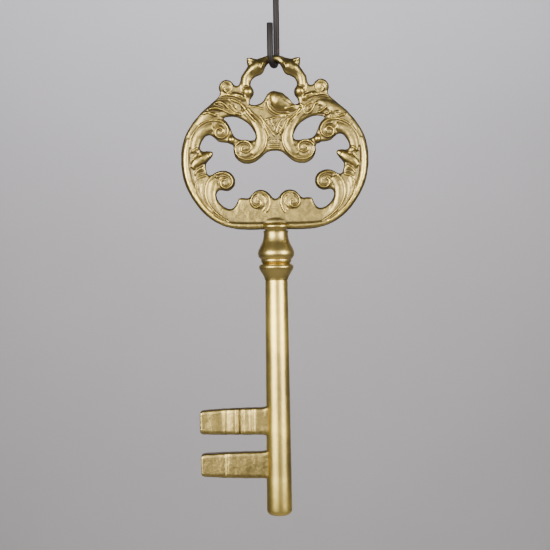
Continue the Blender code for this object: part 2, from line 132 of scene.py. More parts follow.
def settle(obj):
    """Puts the object's place, turn and size into its mesh."""
    pick(obj)
    bpy.ops.object.transform_apply(location=True, rotation=True, scale=True)


def smooth(obj, angle):
    """Shades the object smooth, except at edges sharper than this many degrees."""
    pick(obj)
    bpy.ops.object.shade_smooth_by_angle(angle=math.radians(angle))


def join(name, parts):
    """Makes one mesh object of several objects, curves among them."""
    pick(parts[0])
    for part in parts:
        part.select_set(True)
    bpy.ops.object.convert(target="MESH")
    bpy.ops.object.join()
    obj = name_new(name)
    settle(obj)
    return obj


def report(obj):
    size = [round(side / MM, 1) for side in obj.dimensions]
    print(obj.name, size, "mm,", len(obj.data.polygons), "faces")


# %% [markdown]
# ## The bow
# The bow is one casting: a plate with rounded edges, pierced by four openings, with scrolls,
# leaves and two beast heads standing on it. Its outline is a closed curve through a few places,
# and the openings are curves inside it. A filled 2D curve with a bevel gives the plate. The
# pattern is the same left and right, so each outline is drawn once for the right-hand half.

# %% Outlines of the bow, right-hand half, as (x, down); a third value marks a corner
OUTER_EDGE = [
    (0, -0.3), (4.5, 0.1), (8, 1.3), (11.5, 2.0), (14.5, 1.3), (17.6, 1.4, 0), (17.4, 5.0),
    (17.0, 8.2), (19.2, 10.6), (21.2, 13.3), (21.9, 16.6), (23.4, 19.2), (25.6, 18.8),
    (27.6, 16.6), (31, 15.4), (34.6, 17.2), (35.9, 20.8), (35.2, 24.4), (36.2, 26.4),
    (40, 29.9), (45, 34.4), (50, 39.2), (54.6, 45.2), (58.4, 52.2), (60.5, 60), (61, 67),
    (60.5, 75), (59, 82), (56, 89), (52, 95.6), (47, 101.8), (41, 106.8), (35, 110),
    (28, 112.2), (20, 113.2), (10, 113.3), (0, 113.3),
]
RING_OPENING = [
    (0, 4.2), (2.4, 4.6), (3.9, 5.9), (5.5, 8.4), (6.6, 11), (8.2, 12.5),
    (11, 13.6), (13.5, 15.2), (14.7, 17.5), (14.8, 19.6), (13.6, 21.3), (12.9, 23.5),
    (13.4, 26), (15, 28.3), (15.8, 30.2), (15.6, 31.6, 0), (12, 31.9), (9, 30.8),
    (6.6, 28.8), (5.2, 26.3), (3.5, 24.2), (1.4, 23.1), (0, 23),
]
MAIN_OPENING = [
    (0, 62.1), (4.3, 62.8), (6.6, 64.4), (9.5, 67), (13.5, 69.5), (18.5, 70.3), (22.5, 69.1),
    (25.6, 66), (26.9, 62), (27.0, 58.5), (29, 56.9), (32, 56.5), (36.5, 55.6), (39.2, 53.2),
    (41.8, 51.6), (44.8, 52.3), (47, 54.6), (48.1, 57.5), (48.2, 60.3), (46.8, 61.5),
    (43, 61.5), (40.4, 62.3), (40.1, 64.2), (41.6, 66.6), (44, 69.3), (44.8, 71.5),
    (44.3, 74.2), (43.6, 76.6), (42, 77.2), (38.4, 75.4), (34.3, 74.3), (29.8, 75.3),
    (26.8, 78), (25.8, 81.5), (26.3, 84.3), (28.5, 86.9), (31.5, 87.9), (34.3, 87.5),
    (36.4, 87.5), (38, 89.5), (37.9, 91.5), (36.8, 94.2), (34.7, 96.7), (31.8, 98.6),
    (29, 99.2), (26.7, 98), (25, 95.2), (23.9, 92.6, 0), (21.5, 92.2), (17.3, 92.2),
    (15.5, 90.3), (13.2, 88.1), (10.2, 87.1), (7, 87.5), (4, 89.4), (2.1, 91.8), (0.8, 92.8),
    (0, 92.9),
]
EYE_OPENING = [
    (33.4, 40.6, 0), (29.5, 39.7), (24.5, 40.1), (20, 42.2), (16.2, 45.2), (13.8, 48.8),
    (12.4, 52.5), (13, 54.7, 0), (16, 54.9), (21, 54.4), (24.5, 53.4), (26.7, 51),
    (27.9, 48.2), (29, 45.5), (30.6, 43),
]


def both_halves(right):
    """A closed outline from its right-hand half, which starts and ends on the axis."""
    return right + [(-p[0], *p[1:]) for p in reversed(right[1:-1])]


def mirrored(outline):
    return [(-p[0], *p[1:]) for p in outline]


OUTLINES = [
    both_halves(OUTER_EDGE), both_halves(RING_OPENING), both_halves(MAIN_OPENING),
    EYE_OPENING, mirrored(EYE_OPENING),
]
print(len(OUTLINES), "outlines with", sum(map(len, OUTLINES)), "places")

# %% The pierced plate
PLATE_HALF = 1.9
PLATE_ROUND = 1.5
PLATE_INSET = PLATE_ROUND + 0.08


def drawing(name, dimensions="2D"):
    """An empty curve object, drawn flat and stood upright so that its front faces -Y."""
    obj = bpy.data.objects.new(name, bpy.data.curves.new(name, "CURVE"))
    bpy.context.collection.objects.link(obj)
    obj.data.dimensions = dimensions
    obj.rotation_euler = (math.pi / 2, 0, 0)
    return obj


def add_outline(curve, outline):
    spline = curve.splines.new("BEZIER")
    spline.bezier_points.add(len(outline) - 1)
    spline.use_cyclic_u = True
    spline.resolution_u = 8
    for point, place in zip(spline.bezier_points, outline):
        point.co = (place[0] * MM, height(place[1]), 0)
        point.handle_left_type = point.handle_right_type = "VECTOR" if len(place) == 3 else "AUTO"


plate = drawing("plate")
plate.data.fill_mode = "BOTH"
plate.data.extrude = (PLATE_HALF - PLATE_ROUND) * MM
plate.data.bevel_depth = PLATE_ROUND * MM
plate.data.bevel_resolution = 2
plate.data.offset = -PLATE_INSET * MM
for outline in OUTLINES:
    add_outline(plate.data, outline)
print("plate from", len(plate.data.splines), "closed curves")

# %% [markdown]
# The masses that stand highest are strands: curves with an elliptical section that swells and
# narrows along the path. A caster would carve them in wax. A curve is the quickest way to such
# a form, because each place along it needs only its width.

# %% Large forms
# a strand is (height share of its width, middle's height, [(x, down, half width), ...])
STRANDS = [
    (0.8, 1.1, [
        (47, 39.4, 1.2), (51, 44.6, 2.2), (54.2, 50.4, 2.7), (56.4, 57, 2.9), (57.4, 63, 3.0),
        (57.6, 69, 3.0), (57.0, 76, 3.0), (55.4, 82.6, 2.9), (52.6, 89.2, 2.7), (48.8, 95.4, 2.5),
        (44.0, 101.2, 2.2), (38.4, 105.7, 2.0), (32.4, 108.8, 2.1), (25, 110.2, 2.3),
        (17, 110.6, 2.4), (8, 110.6, 2.4), (0, 110.6, 2.4),
    ]),
    (0.5, 1.3, [
        (27, 30.8, 1.8), (33, 32.0, 3.4), (39.4, 35.6, 4.4), (45, 40.4, 4.4), (49.6, 46, 3.6),
    ]),
    (0.5, 1.5, [
        (52.4, 63, 2.9), (51.6, 57, 3.5), (49.2, 51.6, 3.8), (45.0, 47.6, 3.8), (40, 46.2, 3.1),
    ]),
    (0.5, 1.7, [
        (19.5, 36.5, 2.0), (15, 40, 2.6), (11.4, 44.6, 3.3), (9.2, 50, 3.4), (8.9, 56, 3.6),
        (10.8, 61, 3.7), (14.6, 64, 3.0),
    ]),
    (0.5, 1.5, [
        (31.6, 106.2, 1.4), (34.8, 104.4, 2.0), (38.4, 100.2, 2.9), (41.0, 94.8, 3.4),
        (41.7, 88.6, 3.4), (40.3, 83.2, 3.3), (37.4, 79.6, 2.8),
    ]),
    (0.7, 1.0, [
        (49.4, 79.5, 1.8), (50.4, 85, 2.3), (49.2, 90.6, 2.0), (45.8, 97, 1.5), (40, 103, 1.0),
    ]),
    (0.6, 1.9, [(54, 72.4, 2.0), (50.4, 69, 3.2), (46.4, 66.4, 3.1), (42.9, 64.2, 2.1)]),
    (1.0, 0.6, [(18, 27.6, 2.6), (22, 27.2, 2.9), (26.6, 25.8, 2.6), (30.4, 24.6, 2.0)]),
    (1.0, 0.0, [
        (0, 2.0, 1.8), (3.4, 2.4, 1.9), (6.4, 4.4, 2.7), (9.6, 6.6, 4.3), (12.9, 8.6, 4.1),
        (16.0, 11.3, 3.2), (17.9, 14.6, 3.1), (18.4, 18.4, 3.2), (18.6, 22, 3.1),
    ]),
    (1.0, 0.7, [(13.4, 5.4, 2.2), (15.4, 3.6, 1.6), (17.0, 2.1, 0.7)]),
]
# a volute is (x, down, radius), a dome (x, down, half width, half height, half depth)
VOLUTES = [(34.8, 49.2, 4.9), (19.4, 60.6, 6.0), (32.2, 81.6, 4.9), (10.8, 94.2, 5.4)]
DOMES = [
    (30.6, 20.4, 4.9, 4.9, 3.7), (16.9, 23.6, 3.9, 3.9, 4.4), (27.9, 54.6, 2.9, 3.0, 3.9),
    (0, 108.6, 9.4, 3.8, 3.2),
]
EGG = [
    (-2.4, 26.8, 2.2), (-0.4, 27.5, 4.4), (2.6, 29.0, 5.4), (6.6, 31.4, 4.7), (11, 33.8, 3.0),
    (15.4, 35, 1.4),
]
EGG_OUT = 1.9
print(len(STRANDS), "strands,", len(VOLUTES), "volutes and", len(DOMES), "domes on each side")

# %% Tools that make the large forms
SECTION_CORNERS = 20
VOLUTE_HALF = 2.7
VOLUTE_ROUND = 0.9


def section(ratio):
    """The outline that a strand is swept with: 1 mm to each side and ratio times that tall."""
    obj = drawing("section")
    obj.rotation_euler = (0, 0, 0)
    spline = obj.data.splines.new("POLY")
    spline.points.add(SECTION_CORNERS - 1)
    spline.use_cyclic_u = True
    for i, point in enumerate(spline.points):
        turn = math.tau * i / SECTION_CORNERS
        point.co = (math.cos(turn) * MM, ratio * math.sin(turn) * MM, 0, 1)
    return obj


def strand(points, profile, out):
    """A strand along these places; out is its middle's height in front of the plate's."""
    obj = drawing("strand", "3D")
    curve = obj.data
    curve.twist_mode = "Z_UP"
    curve.bevel_mode = "OBJECT"
    curve.bevel_object = profile
    curve.use_fill_caps = True
    curve.resolution_u = 8
    spline = curve.splines.new("BEZIER")
    spline.bezier_points.add(len(points) - 1)
    for point, (x, down, half_width) in zip(spline.bezier_points, points):
        point.co = (x * MM, height(down), out * MM)
        point.radius = half_width
        point.handle_left_type = point.handle_right_type = "AUTO"
    return obj


def disc(x, down, radius):
    """A boss through the plate, its rims rounded: a cylinder with a beveled edge."""
    bpy.ops.mesh.primitive_cylinder_add(
        vertices=40, radius=radius * MM, depth=2 * VOLUTE_HALF * MM,
        location=spot(x, down), rotation=(math.pi / 2, 0, 0),
    )
    obj = name_new("boss")
    modify(obj, "BEVEL", width=VOLUTE_ROUND * MM, segments=2)
    return obj


def dome(x, down, wide, high, tall):
    """A ball stretched to these half sizes: sideways, up and down, and out of the plate."""
    bpy.ops.mesh.primitive_uv_sphere_add(
        segments=32, ring_count=20, radius=MM, location=spot(x, down)
    )
    obj = name_new("dome")
    bpy.ops.object.mode_set(mode="EDIT")
    bpy.ops.transform.resize(value=(wide, tall, high), center_override=spot(x, down))
    bpy.ops.object.mode_set(mode="OBJECT")
    return obj


# %% Make the large forms and join them with the plate
sections = {ratio: section(ratio) for ratio in (0.5, 0.6, 0.7, 0.8, 1.0)}
masses = [strand(points, sections[ratio], out) for ratio, out, points in STRANDS]
masses += [disc(*place) for place in VOLUTES]
masses += [dome(*place) for place in DOMES]
ornament = join("ornament", masses)
modify(ornament, "MIRROR", use_axis=(True, True, False), use_mirror_merge=False)
eggs = [strand(EGG, sections[0.5], out) for out in (EGG_OUT, -EGG_OUT)]
bow = join("bow", [plate, ornament] + eggs)
for profile in sections.values():
    bpy.data.objects.remove(profile)
report(bow)

# %% [markdown]
# A voxel remesh melts the plate and the masses into one skin, as the wax carver's knife would.
# Its cells are fine, so the small relief can then be carved into them.

# %% Melt the masses into one skin
CARVING_VOXEL = 0.47
modify(bow, "REMESH", mode="VOXEL", voxel_size=CARVING_VOXEL * MM)
modify(bow, "SMOOTH", factor=0.5, iterations=3)
report(bow)

# %% [markdown]
# The thin ridges, grooves and ribs are carved by moving each vertex of the skin in or out by a
# height that depends on how far it lies from the nearest drawn line. Sculpting would do the
# same by hand. Each line is smoothed through a few places, and its height fades at its ends.

# %% Carving along lines


def smooth_path(points, step=0.5):
    """Closely spaced places on a smooth curve through these, with the share of its length."""
    p = np.array(points, float)
    p = np.vstack([2 * p[0] - p[1], p, 2 * p[-1] - p[-2]])
    rows = []
    for a, b, c, d in zip(p, p[1:], p[2:], p[3:]):
        count = max(2, int(np.linalg.norm(c[:2] - b[:2]) / step))
        t = np.linspace(0, 1, count, endpoint=False)[:, None]
        rows.append(0.5 * (
            2 * b + (c - a) * t + (2 * a - 5 * b + 4 * c - d) * t**2
            + (3 * b - a - 3 * c + d) * t**3
        ))
    path = np.vstack(rows + [p[-2:-1]])
    run = np.concatenate([[0], np.cumsum(np.linalg.norm(np.diff(path[:, :2], axis=0), axis=1))])
    return path, run / run[-1], run[-1]


def ease(t):
    """A share from 0 to 1 that starts and stops gently."""
    return t * t * (3 - 2 * t)


def line_height(places, points, width, tall, fade):
    """How far a line raises each place: tall on the line, nothing beyond width from it."""
    path, share, length = smooth_path(points)
    low, high = path[:, :2].min(0) - width, path[:, :2].max(0) + width
    near = np.flatnonzero(((places > low) & (places < high)).all(1))
    raised = np.zeros(len(places))
    if not len(near):
        return raised
    spots = places[near]
    best = np.full(len(near), np.inf)
    along = np.zeros(len(near))
    for i in range(len(path) - 1):
        a, b = path[i, :2], path[i + 1, :2]
        d = b - a
        t = np.clip(((spots - a) @ d) / max(d @ d, 1e-12), 0, 1)
        distance = np.linalg.norm(spots - a - t[:, None] * d, axis=1)
        closer = distance < best
        best[closer] = distance[closer]
        along[closer] = share[i] + (share[i + 1] - share[i]) * t[closer]
    ends = np.clip(along * length / max(fade[0], 1e-6), 0, 1)
    ends = np.minimum(ends, np.clip((1 - along) * length / max(fade[1], 1e-6), 0, 1))
    ends = ease(ends)
    wide = width * (0.55 + 0.45 * ends)
    u = np.clip(best / wide, 0, 1)
    raised[near] = tall * ends * (1 - u * u) ** 2
    return raised


# %% [markdown]
# The relief is drawn as lines: the scrolls' coils, the ribs of the leaves, the heads' ears and
# muzzles. Most are the same left and right, but the leaves on the two shoulders differ, as on
# a casting whose wax was worked by hand.

# %% Coils of the scrolls
UPPER_SCROLL = [
    (54.8, 61), (54.4, 54.5), (51.8, 49.2), (48.4, 45.4), (44, 42.9), (39.5, 41.9),
    (35.2, 42.4), (32, 44.4), (30.1, 47.4), (30.2, 50.4), (32, 52.8), (34.8, 53.5),
    (37.5, 52.4), (38.4, 50), (37.2, 47.7), (35, 47), (33.5, 48.2), (33.9, 49.9),
    (35.2, 50.2),
]
CENTRE_SCROLL = [
    (17.5, 33.6), (14.4, 37.6), (10, 41.8), (6.9, 47), (5.3, 52), (5.3, 56.5), (7, 61),
    (10, 64.6), (14, 66.9), (18.6, 67.6), (23, 66), (25.5, 62.6), (25.6, 59.2),
    (23.6, 56.6), (20, 55.4), (16.6, 56.8), (15.2, 59.6), (16.4, 62), (19.2, 62.8),
    (21.4, 61.6), (21, 59.6), (19.2, 59.4),
]
LOWER_SCROLL = [
    (30, 107.8), (34.4, 105.4), (40.2, 100.2), (44.2, 94), (45.2, 88), (44, 82.6),
    (41.2, 78.6), (37.6, 76.3), (33.4, 75.9), (29.6, 77.4), (27.6, 80.4), (27.8, 83.5),
    (30, 85.7), (33, 85.9), (35, 84), (35, 81.6), (33, 80.3), (31.4, 81.6),
]
FOOT_SCROLL = [
    (6.4, 102.8), (4.5, 99), (3.6, 95.5), (4.4, 91.6), (7.2, 89.1), (10.6, 88.5),
    (13.8, 89.9), (15.8, 93), (15.7, 96.2), (13.6, 98.5), (11, 98.2), (9.6, 96.4),
    (10.2, 94.2), (11.8, 94.0),
]
COILS = [
    (UPPER_SCROLL, (34.6, 49.6), 14), (CENTRE_SCROLL, (19.4, 60.4), 12),
    (LOWER_SCROLL, (32.4, 82.0), 12), (FOOT_SCROLL, (10.9, 94.6), 9),
]


def inside_coil(path, centre, count, share=0.70):
    """The hollow between a coil's turns: its last places, drawn towards its centre."""
    return [
        (centre[0] + share * (x - centre[0]), centre[1] + share * (down - centre[1]))
        for x, down in path[-count:]
    ]


print(len(COILS), "coils on each side")

# %% Ridges, as (half width, height, places)
RIDGES = [(0.85, 1.25, path) for path, centre, count in COILS]
RIDGES += [
    (0.6, 0.6, [(8.4, 101.6), (6.6, 98.6), (6.0, 95.4), (6.8, 92.6), (8.6, 91.2)]),
    # the rim's crest
    (2.4, 0.45, [
        (54.6, 53), (57.0, 60), (57.9, 67), (57.5, 75), (55.9, 82), (53.0, 89), (49.2, 95.2),
        (44.4, 101), (38.8, 105.6), (33, 108.4),
    ]),
    # acanthus beside the rim
    (0.9, 1.0, [(54.6, 63), (51.6, 60.8), (49.2, 60.2), (47.6, 61.4)]),
    (0.8, 0.9, [(54.2, 67.6), (51.8, 64.8), (49.6, 62.6)]),
    (0.8, 1.0, [(52.6, 78), (50.6, 74.8), (48, 73), (45.6, 72.2)]),
    (0.8, 1.0, [(51.8, 80.4), (48.6, 78.6), (45.6, 77.8), (43.4, 77.6)]),
    (0.7, 0.7, [
        (50.4, 80), (51.8, 84.4), (51.4, 89), (48.8, 94.4), (44.6, 99.6), (39.6, 104),
    ]),
    (0.7, 0.6, [(47.2, 81.6), (48, 87), (46.8, 92.6), (43.4, 98.4), (38.6, 103)]),
    # beast heads and necks
    (0.7, 0.8, [(5.6, 3.6), (7.2, 6.2), (8.4, 9.8)]),
    (0.6, 0.8, [(17.2, 2.2), (16.2, 4.4), (15.2, 6.8)]),
    (0.6, 0.6, [(17.0, 2.0), (14.4, 2.9), (12, 3.8)]),
    # shoulder bumps
    (0.9, 0.8, [(19.6, 27), (22.6, 26), (25.6, 24.6)]),
    (0.8, 0.7, [(26.4, 26.6), (29.6, 25.6), (33.6, 25.4)]),
    # tail volute
    (0.7, 1.1, [
        (34.4, 24.2), (34.6, 20.6), (32.6, 17.6), (29.2, 17), (27, 19.6), (27.6, 22.8),
        (30.2, 24.2), (32.2, 22.4), (31.4, 20.2),
    ]),
    # cartouche edges
    (0.6, 0.6, [(17, 33), (13, 33.4), (9.4, 34.4), (6, 35.4)]),
    (0.6, 0.7, [(4.6, 58.4), (0, 58.2), (-3, 58.2)]),
    (0.6, 0.7, [(4.6, 60.8), (0, 60.6), (-3, 60.6)]),
]

# %% Leaves on the two shoulders
LEFT_LEAVES = [
    (0.95, 1.3, [
        (39, 30.9), (35.2, 30.2), (32, 31.8), (29.2, 34.8), (25.6, 37.2), (20.6, 39.0),
    ]),
    (0.9, 1.1, [(43.4, 35.2), (38.4, 34.1), (33.6, 35.2), (28.6, 37.6), (24, 38.6)]),
    (0.9, 1.1, [(47.6, 38.4), (43.4, 37.0), (40, 38.0), (36, 39.6)]),
    (0.9, 1.2, [
        (29.4, 27.9), (25.6, 29.5), (21.6, 31.6), (18.8, 35), (15.6, 39.2), (12.6, 43.2),
    ]),
    (0.8, 1.1, [(20.2, 31.8), (18.6, 34.4), (17.6, 37), (14.6, 40.6), (11.6, 43.8)]),
    (0.8, 1, [(29.6, 30.6), (26.8, 33.6), (23.8, 37.2)]),
]
RIGHT_LEAVES = [
    (0.9, 1.3, [(19.8, 38.4), (22.9, 37.6), (24.9, 35.3), (26.3, 32.4), (28.6, 30.5)]),
    (0.8, 1, [(18.9, 37), (20.0, 33.6), (22.9, 31.4), (26, 30.6)]),
    (0.9, 1.3, [(27.3, 37.9), (29.9, 37.1), (32.7, 35.2), (34.6, 33.2)]),
    (0.8, 1.1, [(32.0, 38.9), (34.8, 38.4), (37.2, 36.2)]),
    (0.8, 1.1, [(35.4, 40.2), (40.2, 40.5), (44.2, 39.6), (47.2, 38.6)]),
    (0.8, 1.1, [
        (15.4, 32.6), (17.6, 32.4), (18.4, 34.2), (16.4, 37.4), (13, 40.6), (10, 44.4),
    ]),
]

# %% Grooves and hollows, as (half width, depth, places)
GROOVES = [(0.85, 0.8, inside_coil(*coil)) for coil in COILS]
GROOVES += [
    (1.0, 0.8, [(16.2, 38.2), (11.6, 41.2), (7.4, 46.4), (4.6, 51.6), (3.9, 56.6)]),
    (1.6, 0.3, [
        (49, 44), (52.6, 50.6), (54.4, 57), (54.8, 64), (54.6, 71), (53.4, 78),
        (50.8, 85), (46.8, 92), (42.4, 98),
    ]),
    (1.2, 0.7, [(52.4, 62.6), (49, 64.6), (46.4, 64.2)]),
    (1.2, 0.8, [(51.4, 73), (48, 70.8), (45.4, 69.8)]),
    (1.0, 0.8, [(50.6, 77.2), (47.8, 75.6), (45, 75.2)]),
    (1.0, 0.7, [(22.6, 24.6), (20.4, 24.8), (19.6, 27.8)]),
    (1.0, 0.9, [(36.4, 27.6), (31, 26.8), (25.4, 27.6), (21, 29.6)]),
    (0.8, 0.7, [(15.6, 19.9), (18, 20.4), (21, 20.6)]),
]
LEFT_HOLLOWS = [
    (1.2, 0.9, [(39.6, 31.8), (36, 32.8), (32.4, 34.9)]),
    (1.1, 0.8, [(44, 36.6), (39, 36), (34, 37)]),
    (1.2, 0.7, [(22, 33.2), (19.8, 36.6)]), (1.2, 0.7, [(27.6, 31.4), (24.8, 34.6)]),
]
RIGHT_HOLLOWS = [
    (1.3, 0.7, [(24, 33), (21.8, 36.2)]), (1.3, 0.7, [(30.6, 32.4), (28.6, 35.4)]),
    (1.2, 0.8, [(26.6, 38.6), (30, 38.7), (34, 39.3)]), (1.2, 0.7, [(38.8, 37.8), (43, 37.4)]),
]
# the shoulders are worked more strongly than drawn
SHOULDER_RIDGE = 1.25
SHOULDER_HOLLOW = 1.3
print(len(RIDGES + LEFT_LEAVES + RIGHT_LEAVES), "ridges,", len(GROOVES), "grooves")

# %% Lines of painted shade, as (half width, how dark, places)
PAINTED_SHADE_LINES = [
    (1.5, 0.25, [
        (33, 106.6), (29, 107.6), (24, 108.2), (16, 108.5), (8, 108.5), (0, 108.5), (-3, 108.5),
    ]),
    (1.6, 0.30, [(43.4, 84), (43.4, 90), (41.4, 96), (37, 102), (31, 105.6), (24, 107)]),
    (7.0, 0.30, [(0, 36), (0, 46), (0, 58)]),
    (3.6, 0.40, [(-1, 107.8), (3, 107.8), (7.6, 108.6)]),
    (2.4, 0.25, [(50, 47), (53.6, 52), (55.4, 59), (55.8, 66), (55.2, 73), (53.6, 79)]),
    (1.3, 0.45, [(44, 76.6), (43.6, 72), (43.6, 69)]),
    (1.4, 0.40, [(41, 65.4), (43.6, 68.6), (46.6, 70.4)]),
    (2.4, 0.35, [(34, 26), (38, 29), (42, 32.4), (46.4, 36.6), (50.6, 41.2)]),
]
# painted shade in the eyes of the volutes
PAINTED_SHADE_LINES += [
    (1.1 * radius, 0.35, [(x - 1, down), (x + 1, down)]) for x, down, radius in VOLUTES
]
print(len(PAINTED_SHADE_LINES), "shade_lines")

# %% The shell in the middle of the bow, where the two halves differ
CURL = [
    (0.7, 1.1, [(-3.4, 28.2), (-4.2, 31), (-3.2, 34), (-0.8, 36.6), (3.6, 38.6), (10.6, 38.8)]),
]
CURL_HOLLOW = [
    (0.9, 0.9, [(-2.0, 31.4), (-1.0, 34.2), (1.6, 36.4), (5.6, 37.0), (9.4, 36.6)]),
    (0.8, 0.7, [(-5.6, 30), (-5.2, 33.6), (-3.2, 36.6), (0.6, 39.2), (6, 40.4)]),
]
FAN = [
    (0.65, 1.2, line) for line in (
        [(-9.6, 39.2), (-6.4, 43.6), (-2.8, 48.4), (0.4, 53.4)],
        [(-7.4, 42.4), (-5.6, 47.4), (-3.6, 51.6), (-2.6, 54)],
        [(-5.2, 40.6), (-3.4, 44.4), (-2.8, 46.4)],
        [(-1.4, 40.4), (-1.6, 43.6), (0.2, 46.8), (0.2, 49.8)],
        [(2.4, 40.8), (1.0, 43.2), (-1.2, 45.4), (-2.4, 45.8)],
        [(5.4, 41.2), (3.2, 44.4), (1.8, 48.2), (1.8, 51.2)],
        [(10.2, 40.4), (7.2, 43.2), (5.2, 47.2), (3.2, 52.4)],
        [(7.8, 44.6), (6.4, 48.6), (5.4, 52.6), (4.8, 55.2)],
        [(-1.6, 49.6), (0.8, 51.0), (3.2, 49.6), (4.8, 46.4)],
        [(3.0, 45.6), (4.2, 46.8), (5.4, 46.2)],
        [(8.0, 39.8), (3.4, 40.0), (-1.4, 41.0), (-6.6, 42.4)],
        [(-4.6, 49.2), (-4.0, 52.6), (-4.4, 55.4)],
    )
]
BEADS = [
    (1.0, 0.9, [(x - 0.5, 55.6), (x + 0.5, 55.6)]) for x in (-3.2, -1.2, 0.9, 3.0)
]
print(len(FAN), "ribs and", len(BEADS), "beads")

# %% Read a skin and give it a casting's unevenness


def mesh_arrays(mesh):
    """The places and normals of a mesh's vertices, and the two ends of each edge."""
    place = np.zeros(len(mesh.vertices) * 3)
    mesh.vertices.foreach_get("co", place)
    normal = np.zeros(len(mesh.vertices) * 3)
    mesh.vertices.foreach_get("normal", normal)
    edges = np.zeros(len(mesh.edges) * 2, int)
    mesh.edges.foreach_get("vertices", edges)
    return place.reshape(-1, 3), normal.reshape(-1, 3), edges.reshape(-1, 2)


def roughen(obj, tall, wavelength, waves=14):
    """Gives a skin the gentle unevenness of a sand casting, tall in mm, by crossing waves."""
    place, normal, edges = mesh_arrays(obj.data)
    draw = np.random.default_rng(7)
    total = np.zeros(len(place))
    for _ in range(waves):
        direction = draw.normal(size=3)
        direction *= math.tau / wavelength * draw.uniform(0.6, 1.5) / np.linalg.norm(direction)
        total += np.sin(place / MM @ direction + draw.uniform(0, math.tau))
    place += normal * (tall * MM * total / math.sqrt(waves))[:, None]
    obj.data.vertices.foreach_set("co", place.ravel())
    obj.data.update()


# %% Measure the relief's height at any place
edge_points = np.vstack([
    smooth_path([p[:2] for p in outline + outline[:1]], 0.3)[0][:, :2] for outline in OUTLINES
])
edge_tree = kdtree.KDTree(len(edge_points))
for i, point in enumerate(edge_points):
    edge_tree.insert((point[0], point[1], 0), i)
edge_tree.balance()


def tallest(places, lines, widen=1.0, fade=(2.0, 2.0)):
    """The height of the tallest of several lines at each place."""
    return np.max([
        line_height(places, points, wide * widen, tall, fade) for wide, tall, points in lines
    ], axis=0)


def edge_distance(x, down):
    """How far each place lies from the nearest outline, in mm."""
    return np.array([edge_tree.find((a, b, 0))[2] for a, b in zip(x, down)])


def relief(x, down, widen=1.0):
    """How high the ridges and how deep the grooves are at each place, in mm."""
    half, whole, right = np.column_stack([np.abs(x), down]), np.column_stack([x, down]), x > 0
    ridge = np.max([
        tallest(half, RIDGES, widen), tallest(whole, CURL, widen),
        SHOULDER_RIDGE * tallest(half, RIGHT_LEAVES, widen) * right,
        SHOULDER_RIDGE * tallest(half, LEFT_LEAVES, widen) * ~right,
        tallest(whole, FAN, widen, (1.0, 1.5)), tallest(whole, BEADS, widen, (0.3, 0.3)),
    ], axis=0)
    groove = np.max([
        tallest(half, GROOVES), tallest(whole, CURL_HOLLOW),
        SHOULDER_HOLLOW * tallest(half, RIGHT_HOLLOWS) * right,
        SHOULDER_HOLLOW * tallest(half, LEFT_HOLLOWS) * ~right,
    ], axis=0)
    return ridge, groove


# %% Carve the relief
FACE_ROUND = 2.4
EDGE_ROUND = 1.5
CROWN_RISE = 0.5
co, normals, edges = mesh_arrays(bow.data)
x, down, side = co[:, 0] / MM, RING_TOP - co[:, 2] / MM, np.sign(co[:, 1])
ridge, groove = relief(x, down)
from_edge = edge_distance(x, down)
inside = np.clip(from_edge / EDGE_ROUND, 0, 1)
crown = np.sqrt(1 - (1 - np.clip(from_edge / FACE_ROUND, 0, 1)) ** 2)
facing = ease(np.clip((np.abs(normals[:, 1]) - 0.25) / 0.45, 0, 1))
lift = facing * (CROWN_RISE * crown + inside * (ridge - groove))
co[:, 1] += side * lift * MM
bow.data.vertices.foreach_set("co", co.ravel())
bow.data.update()
roughen(bow, tall=0.035, wavelength=5.0)
print("carved", len(co), "vertices, highest lift", round(float(lift.max()), 2), "mm")
report(bow)

# %% [markdown]
# The brass is painted pale on ridges and dark in hollows: partly patina and rubbed polish, and
# partly painted highlight and painted shade. How deep a place lies is measured on the mesh: each
# vertex is compared with a smoothed copy of the skin, and the difference is stored as an
# attribute that the brass reads. Painted shade is added beside the ridges, in the grooves, at the
# eyes of the volutes, along the edges, and most of all on the walls of the openings.

# %% Store how hollow each place is, with its painted shade
PLAIN_FACE = 0.4
FACE_LIMIT = 0.78
WALL_SHADE = 0.6


def spread(values, edges, rounds):
    """Values averaged with their neighbours' several times."""
    a, b = edges[:, 0], edges[:, 1]
    degree = np.bincount(a, minlength=len(values)) + np.bincount(b, minlength=len(values))
    for _ in range(rounds):
        total = np.bincount(a, values[b], len(values)) + np.bincount(b, values[a], len(values))
        values = 0.35 * values + 0.65 * total / np.maximum(degree, 1)
    return values


def store_patina_and_shade(obj, scale, rounds=(4, 30), patina_and_shade=0):
    """Writes "hollow": 0 on ridges, more on plain faces and in hollows, up to 1 on walls."""
    place, normal, edges = mesh_arrays(obj.data)
    # hollows come out darker, as patina and as painted shade
    depth = np.zeros(len(place))
    for turns in rounds:
        flat = np.column_stack([spread(place[:, axis], edges, turns) for axis in range(3)])
        depth += ((flat - place) * normal).sum(1) / MM / len(rounds)
    depth = spread(depth, edges, 1)
    # the walls of the openings get painted shade, darkest where they face sideways
    steep = np.clip((0.85 - np.abs(normal[:, 1])) / 0.45, 0, 1)
    value = np.clip(PLAIN_FACE + depth / scale + patina_and_shade, 0, FACE_LIMIT)
    value = np.clip(value + WALL_SHADE * steep, 0, 1)
    attribute = obj.data.attributes.new("hollow", "FLOAT", "POINT")
    attribute.data.foreach_set("value", value)
    print(obj.name, "hollow from", round(float(value.min()), 2), "to", round(float(value.max()), 2))
